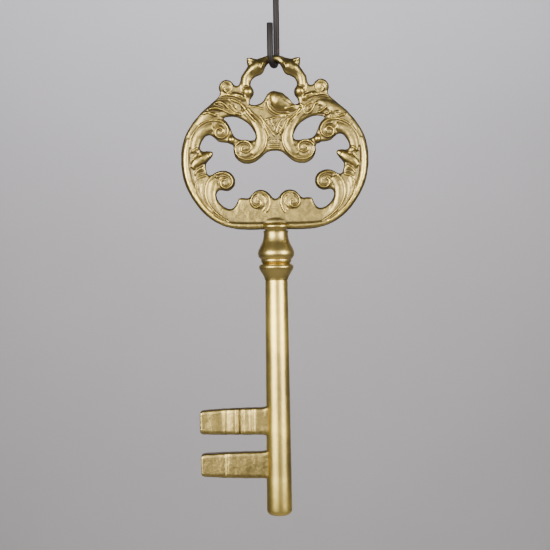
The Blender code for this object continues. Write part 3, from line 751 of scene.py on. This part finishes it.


# %% Thin the bow's mesh and paint its patina and shade
MAX_TRIANGLES = 196000
RIDGE_SHADE_REACH = 2.2
EDGE_SHADE_WIDTH = 1.9
triangles = 2 * len(bow.data.polygons)
if triangles > MAX_TRIANGLES:
    modify(bow, "DECIMATE", ratio=MAX_TRIANGLES / triangles)
pick(bow)
bpy.ops.object.shade_smooth()
co = mesh_arrays(bow.data)[0]
x, down = co[:, 0] / MM, RING_TOP - co[:, 2] / MM
ridge, groove = relief(x, down)
# painted shade beside each ridge, where patina also gathers
beside = relief(x, down, RIDGE_SHADE_REACH)[0] - ridge
shade_lines = tallest(np.column_stack([np.abs(x), down]), PAINTED_SHADE_LINES, fade=(0.5, 0.5))
# painted shade along the edges of the outlines
near_edge = np.clip(1 - edge_distance(x, down) / EDGE_SHADE_WIDTH, 0, 1)
# grooves darker as patina and painted shade, ridges paler as polish and painted highlight
patina_and_shade = 0.42 * beside + 0.25 * groove - 0.28 * ridge + shade_lines + 0.3 * near_edge
store_patina_and_shade(bow, scale=1.1, patina_and_shade=patina_and_shade)
report(bow)

# %% [markdown]
# ## Turned pieces
# The neck, its collar and the stem are lathe work. A disc is extruded down the axis again and
# again, and each new ring is resized to the profile's radius, as a turner works along a bar.

# %% Turn a piece
TURNED_SIDES = 128


def turn_piece(name, profile):
    """A closed round piece from (radius, down) places, starting and ending with a flat face."""
    radius, down = profile[0]
    deselect()
    bpy.ops.mesh.primitive_circle_add(
        vertices=TURNED_SIDES, radius=radius * MM, fill_type="NGON", location=spot(0, down)
    )
    obj = name_new(name)
    bpy.ops.object.mode_set(mode="EDIT")
    for new_radius, new_down in profile[1:]:
        bpy.ops.mesh.extrude_region_move(
            TRANSFORM_OT_translate={"value": (0, 0, -(new_down - down) * MM)}
        )
        ratio = new_radius / radius
        bpy.ops.transform.resize(value=(ratio, ratio, 1), center_override=spot(0, new_down))
        radius, down = new_radius, new_down
    bpy.ops.mesh.select_all(action="SELECT")
    bpy.ops.mesh.normals_make_consistent(inside=False)
    bpy.ops.object.mode_set(mode="OBJECT")
    settle(obj)
    return obj


def rounded_profile(points, step=0.35):
    """A turned profile through these places, smooth except at those with a third value."""
    runs, run = [], [points[0][:2]]
    for point in points[1:]:
        run.append(point[:2])
        if len(point) == 3:
            runs.append(run)
            run = [point[:2]]
    if len(run) > 1:
        runs.append(run)
    profile = []
    for run in runs:
        path = smooth_path(run, step)[0] if len(run) > 2 else np.array(run, float)
        profile += [tuple(place) for place in path[(1 if profile else 0):]]
    return profile


# %% Neck, collar and stem
STUD_BORE = 2.8
neck = turn_piece("neck", rounded_profile([
    (STUD_BORE, 116.0, 0), (STUD_BORE, 135.1, 0), (8.8, 135.1, 0), (9.3, 134.7), (9.75, 134.1),
    (9.9, 133.3), (9.9, 132.7, 0), (10.6, 131.8), (11.4, 130.8), (11.85, 129.3),
    (11.85, 128.1), (11.6, 126.9), (10.9, 125.2), (9.9, 123.2), (8.9, 121.1), (8.3, 119.0),
    (8.0, 117.0), (8.0, 115.2),
    (8.3, 113.8), (8.9, 112.7, 0), (9.4, 112.3), (9.65, 111.6), (9.7, 110.9), (9.4, 110.1),
    (8.7, 109.4), (7.2, 108.9), (5.4, 108.6, 0), (0.4, 108.6, 0),
]))
collar = turn_piece("collar", rounded_profile([
    (STUD_BORE, 135.1, 0), (8.8, 135.1, 0), (9.8, 135.4), (10.8, 136.2), (11.25, 137.2),
    (11.25, 138.0), (10.8, 139.2), (10.0, 140.6), (9.0, 142.2), (8.2, 143.7), (7.75, 145.0),
    (7.6, 145.8, 0), (STUD_BORE, 145.8, 0),
]))
stem = turn_piece("key_stem", rounded_profile([
    (STUD_BORE, 165.3, 0), (STUD_BORE, 145.8, 0), (7.0, 145.8, 0), (7.3, 146.2, 0),
    (7.6, 190, 0), (7.9, 235, 0), (8.15, 275, 0), (8.28, 294.6, 0), (8.1, 295.9), (7.5, 297.1),
    (6.5, 298), (5.1, 298.6), (3.2, 298.95, 0), (0.3, 299, 0),
], 0.25))
for piece in (neck, collar, stem):
    smooth(piece, 35)
    report(piece)

# %% [markdown]
# The foot of the bow stands in a slot across the neck's head. A box cuts the slot and leaves a
# cheek in front and one behind, and the stud's bore goes on through its floor. A boolean
# modifier takes each cutter away, as a saw and a drill would.

# %% Cut the slot for the foot
SLOT_HALF = 4.9
SLOT_TOP = 104
SLOT_FLOOR = 113.9


def new_box(name, centre, sides):
    """A box around this place, with sides in metres."""
    deselect()
    bpy.ops.mesh.primitive_cube_add(size=1, location=centre)
    obj = name_new(name)
    bpy.ops.object.mode_set(mode="EDIT")
    bpy.ops.transform.resize(value=sides, center_override=centre)
    bpy.ops.object.mode_set(mode="OBJECT")
    return obj


def cut_away(obj, cutter):
    modify(obj, "BOOLEAN", object=cutter, operation="DIFFERENCE")
    bpy.data.objects.remove(cutter)


cut_away(neck, new_box(
    "slot_cutter", spot(0, (SLOT_FLOOR + SLOT_TOP) / 2),
    (30 * MM, 2 * SLOT_HALF * MM, (SLOT_FLOOR - SLOT_TOP) * MM),
))
deselect()
bpy.ops.mesh.primitive_cylinder_add(
    vertices=48, radius=STUD_BORE * MM, depth=6 * MM, location=spot(0, 115.5)
)
cut_away(neck, name_new("bore_cutter"))
smooth(neck, 35)
report(neck)

# %% [markdown]
# ## Bits
# Each bit is a flat bar cut from a box: an end block, then a step down, then ribs and grooves
# across it on the upper one. The box is cut across at the lines of its relief and along its
# edges, and every vertex then takes its thickness from the list of bands. In the same pass the
# bar is tapered, its long edges are rounded and its root is widened where it meets the stem.

# %% Shape a bit
BIT_FACE = 4.4
BIT_ROOT = -6.6
CUT_EVERY = 2.5
TAPER_START, TAPER_POWER = -9, 2.2
FILLET, FILLET_START, FILLET_RUN = 0.9, -11, 4
CORNER = 2.2
RIM_START, RIM_DROP = 0.82, 0.5
BIT_CUTS = (-0.985, -0.96, -0.92, -0.86, -0.45, 0, 0.45, 0.86, 0.92, 0.96, 0.985)


def make_bit(name, top, bottom, end, taper, bands):
    """taper narrows the end, above and below; bands are (x, [to x,] half thickness)."""
    middle, half_height = (top + bottom) / 2, (bottom - top) / 2
    obj = new_box(
        name, spot((end + BIT_ROOT) / 2, middle),
        ((BIT_ROOT - end) * MM, 2 * BIT_FACE * MM, (bottom - top) * MM),
    )
    bpy.ops.object.mode_set(mode="EDIT")
    lines = [x for band in bands for x in band[:-1]]
    thickness = [band[-1] for band in bands for x in band[:-1]]
    for x in sorted(set(lines) | set(np.arange(end + CORNER, BIT_ROOT - 1, CUT_EVERY))):
        bpy.ops.mesh.select_all(action="SELECT")
        bpy.ops.mesh.bisect(plane_co=spot(x, middle), plane_no=(1, 0, 0))
    for share in BIT_CUTS:
        bpy.ops.mesh.select_all(action="SELECT")
        bpy.ops.mesh.bisect(plane_co=spot(0, middle + share * half_height), plane_no=(0, 0, 1))
    bpy.ops.object.mode_set(mode="OBJECT")
    settle(obj)
    for vertex in obj.data.vertices:
        x = vertex.co.x / MM
        share = (RING_TOP - vertex.co.z / MM - middle) / half_height
        reach = max(0, (x - TAPER_START) / (end - TAPER_START))
        narrow = taper[share > 0] * reach**TAPER_POWER
        narrow -= FILLET * max(0, (x - FILLET_START) / FILLET_RUN) ** 2
        turn = min(1, max(0, 1 - (x - end) / CORNER))
        narrow += CORNER * (1 - math.sqrt(1 - turn**2))
        rim = min(1, max(0, (abs(share) - RIM_START) / (1 - RIM_START)))
        vertex.co.y *= float(np.interp(x, lines, thickness)) / BIT_FACE
        vertex.co.y *= 1 - RIM_DROP * (1 - math.sqrt(1 - rim**2))
        vertex.co.z += share * narrow * MM
    return obj


# %% Make the two bits
BIT_BEVEL = 0.4
upper_bit = make_bit(
    "ribbed_bit", 228.5, 246.1, -50.8, (1.6, 0.7),
    [
        (-50.8, 3.3), (-50.65, 4.1), (-50.4, 4.5), (-50.0, -42.0, 4.65), (-40, 4.6),
        (-38, 4.42), (-36.6, 4.12), (-35.4, 3.68), (-34.6, 3.3), (-34.1, -33.9, 3.2),
        (-33.4, 3.6), (-32.4, 3.95), (-31, 4.2), (-29.4, -28.2, 4.3), (-27.3, -27.1, 3.7),
        (-26.4, -25.7, 4.3), (-25.2, -24.9, 3.3), (-24.3, -23.7, 4.4), (-23.0, -22.8, 3.8),
        (-21.9, -18.9, 4.4), (-18.0, -17.3, 4.6), (-16.3, -15.9, 3.8), (-15.0, -9.6, 4.1),
        (-8.9, -6.5, 4.1),
    ],
)
lower_bit = make_bit(
    "plain_bit", 257.0, 274.3, -50.4, (1.0, 1.6),
    [
        (-50.4, 3.3), (-50.25, 4.1), (-50.0, 4.5), (-49.6, -35.6, 4.62),
        (-34.7, 4.4), (-33.8, 3.95), (-33.3, -33.2, 3.8), (-32.6, -9.4, 3.9),
        (-8.9, -6.5, 3.9),
    ],
)


def bevel_corners(obj, width):
    """Bevels the edges that turn by more than 60 degrees."""
    modify(
        obj, "BEVEL", width=width * MM, segments=2, limit_method="ANGLE",
        angle_limit=math.radians(60),
    )
    smooth(obj, 50)


for bit in (upper_bit, lower_bit):
    bevel_corners(bit, BIT_BEVEL)
    report(bit)

# %% [markdown]
# ## Hook
# The hook is round wire with a bend at each end. A poly curve gives exact bends: straight legs
# and half circles. It becomes a mesh, and the cut ends get a small bevel, as cutters leave.

# %% Bend the wire
WIRE = 4.0
BEND = 7.0
BEND_STEPS = 24
UPPER_TIP, LOWER_TIP = -9.0, 19.5
UPPER_BEND = -5.0
LOWER_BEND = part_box("hanging_hook")[0][2] / MM + WIRE / 2 + BEND
HOOK_TURN = math.radians(17.5)
WIRE_BEVEL = 0.35
hook_path = [(-BEND, UPPER_TIP)]
for i in range(BEND_STEPS + 1):
    turn = math.pi * (1 - i / BEND_STEPS)
    hook_path.append((BEND * math.cos(turn), UPPER_BEND + BEND * math.sin(turn)))
for i in range(BEND_STEPS + 1):
    turn = -math.pi * i / BEND_STEPS
    hook_path.append((BEND * math.cos(turn), LOWER_BEND + BEND * math.sin(turn)))
hook_path.append((-BEND, LOWER_BEND + LOWER_TIP))
wire = bpy.data.objects.new("wire", bpy.data.curves.new("wire", "CURVE"))
bpy.context.collection.objects.link(wire)
wire.data.dimensions = "3D"
wire.data.bevel_depth = WIRE / 2 * MM
wire.data.bevel_resolution = 10
wire.data.use_fill_caps = True
spline = wire.data.splines.new("POLY")
spline.points.add(len(hook_path) - 1)
for point, (back, z) in zip(spline.points, hook_path):
    point.co = (back * math.sin(HOOK_TURN) * MM, back * math.cos(HOOK_TURN) * MM, z * MM, 1)
hook = join("hook", [wire])
bpy.ops.object.mode_set(mode="EDIT")
bpy.ops.mesh.select_all(action="SELECT")
bpy.ops.mesh.remove_doubles(threshold=0.01 * MM)
bpy.ops.object.mode_set(mode="OBJECT")
bevel_corners(hook, WIRE_BEVEL)
report(hook)

# %% [markdown]
# ## Finishes
# Shader maths reads best as plain expressions. The class below wraps a socket, so that + - * /
# add Math nodes, and one method adds any other node.

# %% Shader expressions


class Wire:
    """A socket that can be used in expressions; the expression adds the Math nodes."""

    def __init__(self, tree, socket):
        self.tree, self.socket = tree, socket

    def _math(self, operation, *values):
        return self.node("ShaderNodeMath", {"operation": operation}, values)[0]

    def node(self, kind, settings=None, inputs=()):
        """Adds a node and returns its outputs; inputs are given by place or by name."""
        made = self.tree.nodes.new(kind)
        for key, value in (settings or {}).items():
            setattr(made, key, value)
        for key, value in (inputs.items() if isinstance(inputs, dict) else enumerate(inputs)):
            if isinstance(value, Wire):
                self.tree.links.new(value.socket, made.inputs[key])
            else:
                made.inputs[key].default_value = value
        return [Wire(self.tree, output) for output in made.outputs]

    def __add__(self, other):
        return self._math("ADD", self, other)

    def __sub__(self, other):
        return self._math("SUBTRACT", self, other)

    def __rsub__(self, other):
        return self._math("SUBTRACT", other, self)

    def __mul__(self, other):
        return self._math("MULTIPLY", self, other)

    __radd__, __rmul__ = __add__, __mul__

    def limit(self, low=0.0, high=1.0):
        return self.node("ShaderNodeClamp", {}, (self, low, high))[0]


def new_finish(name, **constants):
    """A Principled material; returns it, its shader and a Wire at the Object coordinates."""
    finish = bpy.data.materials.new(name)
    finish.use_nodes = True
    tree = finish.node_tree
    shader = tree.nodes["Principled BSDF"]
    for key, value in constants.items():
        shader.inputs[key.replace("_", " ")].default_value = value
    place = Wire(tree, tree.nodes.new("ShaderNodeTexCoord").outputs["Object"])
    return finish, shader, place


def plug(shader, name, wire):
    shader.id_data.links.new(wire.socket, shader.inputs[name])


def noise(place, scale, detail=3.0, roughness=0.55):
    return place.node("ShaderNodeTexNoise", {}, {
        "Vector": place, "Scale": scale, "Detail": detail, "Roughness": roughness,
    })[0]


def mix_color(wire, factor, a, b):
    """Color a where factor is 0 and b where it is 1; 6, 7 and 2 are the color sockets."""
    return wire.node("ShaderNodeMix", {"data_type": "RGBA"}, {0: factor, 6: a, 7: b})[2]


def bump(wire, height_wire, strength, distance):
    return wire.node("ShaderNodeBump", {}, {
        "Strength": strength, "Distance": distance, "Height": height_wire,
    })[0]


# %% [markdown]
# The brass is pale where it is rubbed and olive brown in the hollows, with a fine sand-cast
# grain and faint clouds of tarnish. The bow and the bits read their hollows from the attribute;
# there the pale is partly painted highlight and the olive brown partly painted shade, darkest on
# the walls. The neck and its collar are smoother, with fine rings from the turning tool, and the
# stem lies between the two.

# %% Brass finishes
# PALE is rubbed brass and painted highlight; OLIVE is tarnish, patina and painted shade
PALE = (0.90, 0.69, 0.19, 1)
MELLOW = (0.56, 0.43, 0.155, 1)
GOLD = (0.45, 0.347, 0.122, 1)
DULL = (0.30, 0.234, 0.094, 1)
# DARK is painted shade on the walls of the openings
OLIVE = (0.205, 0.162, 0.082, 1)
DARK = (0.15, 0.122, 0.068, 1)
CLOUDS, SPECKS, CAST_GRAIN, TOOL_RINGS = 38, 620, 190, 520.0


def brass(name, hollows, grain, polish, rings=False, rubbed_and_highlit=PALE, plain=GOLD):
    """Brass with or without patina and painted shade in its hollows; polish is its roughness."""
    # the palest color is rubbed brass, and on the bow and the bits also painted highlight
    finish, shader, place = new_finish(name, Metallic=1.0)
    cloud = noise(place, CLOUDS, 3)
    speck = noise(place, SPECKS, 3, 0.6)
    patch = ((cloud - 0.34) * 2.6 + (speck - 0.5) * (2.6 if hollows else 0.4)).limit()
    if hollows:
        hollow = place.node("ShaderNodeAttribute", {"attribute_name": "hollow"})[2]
        # olive where the attribute holds patina and painted shade
        stain_and_shade = ((hollow + (cloud - 0.5) * 0.22 + (speck - 0.5) * 0.16 - 0.46) * 2.6).limit()
        base = mix_color(place, patch, DULL, plain)
        # palest on ridges and crowns: rubbed polish and painted highlight
        base = mix_color(place, ((0.31 - hollow) * 3.4).limit(), base, rubbed_and_highlit)
        base = mix_color(place, stain_and_shade * 0.9, base, OLIVE)
        # darkest on the walls of the openings: painted shade
        base = mix_color(place, ((hollow - 0.78) * 5).limit(), base, DARK)
    else:
        stain_and_shade = ((cloud * 0.5 + speck * 0.6 - 0.60) * 2.6).limit() * 0.25
        base = mix_color(place, stain_and_shade, mix_color(place, patch, plain, rubbed_and_highlit), OLIVE)
    plug(shader, "Base Color", base)
    rough = polish + (cloud - 0.5) * 0.12 + (speck - 0.5) * 0.10 + stain_and_shade * 0.16
    plug(shader, "Roughness", rough.limit(0.12, 0.8))
    uneven = speck * grain + noise(place, CAST_GRAIN, 2) * (grain * 1.4)
    if rings:
        bands = place.node("ShaderNodeTexWave", {
            "wave_type": "BANDS", "bands_direction": "Z",
        }, {"Vector": place, "Scale": TOOL_RINGS, "Distortion": 1.2, "Detail": 1.0})[1]
        uneven = uneven + bands * 0.08
    plug(shader, "Normal", bump(place, uneven, 0.5, 0.16 * MM))
    return finish


bow_brass = brass("cast_bow_brass", True, 1.2, 0.33)
neck_brass = brass("turned_neck_brass", False, 0.08, 0.32, rings=True, rubbed_and_highlit=MELLOW)
stem_brass = brass("drawn_stem_brass", False, 0.6, 0.32)
bit_brass = brass("cast_bit_brass", True, 1.2, 0.33)
print("brass finishes", [m.name for m in (bow_brass, neck_brass, stem_brass, bit_brass)])

# %% [markdown]
# The hook is dark drawn steel: almost black, with a dull sheen, soft blotches and a few brown
# specks of rust. The hidden stud is plain steel, and its thread is only bump.

# %% Steel finishes
wire_steel, shader, place = new_finish("dark_drawn_wire", Metallic=0.85)
blotch, fleck = noise(place, 160, 4), noise(place, 900, 3)
rust = ((blotch + fleck * 0.5 - 0.86) * 5).limit()
wire_color = mix_color(place, rust, (0.030, 0.028, 0.032, 1), (0.085, 0.055, 0.04, 1))
plug(shader, "Base Color", wire_color)
plug(shader, "Roughness", (0.36 + blotch * 0.22 + fleck * 0.1).limit(0.2, 0.8))
plug(shader, "Normal", bump(place, blotch + fleck * 0.6, 0.35, 0.2 * MM))

stud_steel, shader, place = new_finish("plain_stud_steel", Metallic=1.0)
thread = place.node("ShaderNodeTexWave", {"wave_type": "BANDS", "bands_direction": "Z"}, {
    "Vector": place, "Scale": 160.0,
})[1]
stud_color = mix_color(place, noise(place, 90), (0.30, 0.30, 0.31, 1), (0.42, 0.42, 0.43, 1))
plug(shader, "Base Color", stud_color)
plug(shader, "Roughness", (0.3 + noise(place, 300) * 0.2).limit())
plug(shader, "Normal", bump(place, thread, 0.6, 0.3 * MM))
print("steel finishes", [m.name for m in (wire_steel, stud_steel)])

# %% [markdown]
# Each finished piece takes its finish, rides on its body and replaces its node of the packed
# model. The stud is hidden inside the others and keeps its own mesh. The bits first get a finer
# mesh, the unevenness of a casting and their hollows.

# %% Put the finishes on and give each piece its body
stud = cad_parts["joining_stud"]
stud.data.materials.clear()
stud.data.materials.append(stud_steel)
for bit in (upper_bit, lower_bit):
    modify(bit, "SUBSURF", levels=1, render_levels=1, subdivision_type="SIMPLE")
    roughen(bit, tall=0.07, wavelength=6.0)
    # their edges and walls get painted shade, their hollows patina and painted shade
    store_patina_and_shade(bit, scale=2.4, rounds=(3, 12))
PIECES = [
    (bow, "bow_casting", "bow", "key", bow_brass),
    (neck, "neck_baluster", "neck", "key", neck_brass),
    (collar, "neck_collar", "collar", "key", neck_brass),
    (stem, "stem", "stem", "key", stem_brass),
    (upper_bit, "upper_bit", "bits", "key", bit_brass),
    (lower_bit, "lower_bit", "bits", "key", bit_brass),
    (hook, "hanging_hook", "wire", "hook", wire_steel),
]
for piece, node, slot, body, finish in PIECES:
    piece.data.materials.clear()
    piece.data.materials.append(finish)
    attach(piece, body)
    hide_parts(node)
print(len(PIECES), "pieces finished")

# %% [markdown]
# ## Stage and light
# A pale wall stands well behind the key and a pale floor lies below it. Two broad soft boxes
# stand to the left and right of the camera and leave a darker gap between them, which gives
# round brass its bright lines with a darker one between. A narrow fill lifts the front a
# little, and a wash lights the wall.

# %% Stage
WALL_PAINT = (0.455, 0.445, 0.50, 1)
FLOOR_PAINT = (0.62, 0.61, 0.62, 1)


def stage_plane(name, size, location, rotation, color):
    deselect()
    bpy.ops.mesh.primitive_plane_add(size=size, location=location, rotation=rotation)
    obj = name_new(name)
    finish, shader, place = new_finish(name + "_paint", Roughness=0.9, Specular_IOR_Level=0.2)
    darker = tuple(0.93 * channel for channel in color[:3]) + (1,)
    plug(shader, "Base Color", mix_color(place, noise(place, 5, 4), darker, color))
    obj.data.materials.append(finish)
    return obj


stage_plane("wall", 6.0, (0, 1.5, 1.0), (math.pi / 2, 0, 0), WALL_PAINT)
stage_plane("floor", 8.0, (0, 0, -0.90), (0, 0, 0), FLOOR_PAINT)

world = bpy.data.worlds.new("room")
world.use_nodes = True
sky = Wire(world.node_tree, world.node_tree.nodes.new("ShaderNodeTexCoord").outputs["Generated"])
rise = sky.node("ShaderNodeSeparateXYZ", {}, (sky,))[2]
shade = mix_color(sky, (1 - rise * 1.6).limit(), (0.12, 0.119, 0.118, 1), (0.22, 0.217, 0.214, 1))
world.node_tree.links.new(shade.socket, world.node_tree.nodes["Background"].inputs["Color"])
bpy.context.scene.world = world
print("wall, floor and", world.name)

# %% Lights
AIM = Vector((0, 0, -0.19))
SPREAD = math.radians(85)
WARM = (1, 0.95, 0.80)


def soft_box(name, azimuth, elevation, distance, wide, tall, power, tint=(1, 1, 1)):
    """A soft box that faces the key; azimuth 0 is the camera's side, positive to the right."""
    data = bpy.data.lights.new(name, "AREA")
    data.shape = "RECTANGLE"
    data.size, data.size_y = wide, tall
    data.energy, data.color = power, tint
    data.spread = SPREAD
    obj = bpy.data.objects.new(name, data)
    bpy.context.collection.objects.link(obj)
    a, e = math.radians(azimuth), math.radians(elevation)
    away = Vector((math.sin(a) * math.cos(e), -math.cos(a) * math.cos(e), math.sin(e)))
    obj.location = AIM + away * distance
    obj.rotation_euler = away.to_track_quat("Z", "Y").to_euler()
    return obj


soft_box("left_box", -34, 7, 1.5, 1.35, 0.85, 12.0, WARM)
soft_box("right_box", 51, 7, 1.5, 1.0, 0.8, 8.0, WARM)
soft_box("front_fill", 15, 10, 1.6, 0.3, 0.9, 0.7, WARM)
wash = soft_box("wall_wash", 0, 60, 1.2, 1.6, 0.3, 9)
wash.location = (0, 0.5, 1.0)
wash.rotation_euler = (math.radians(60), 0, 0)
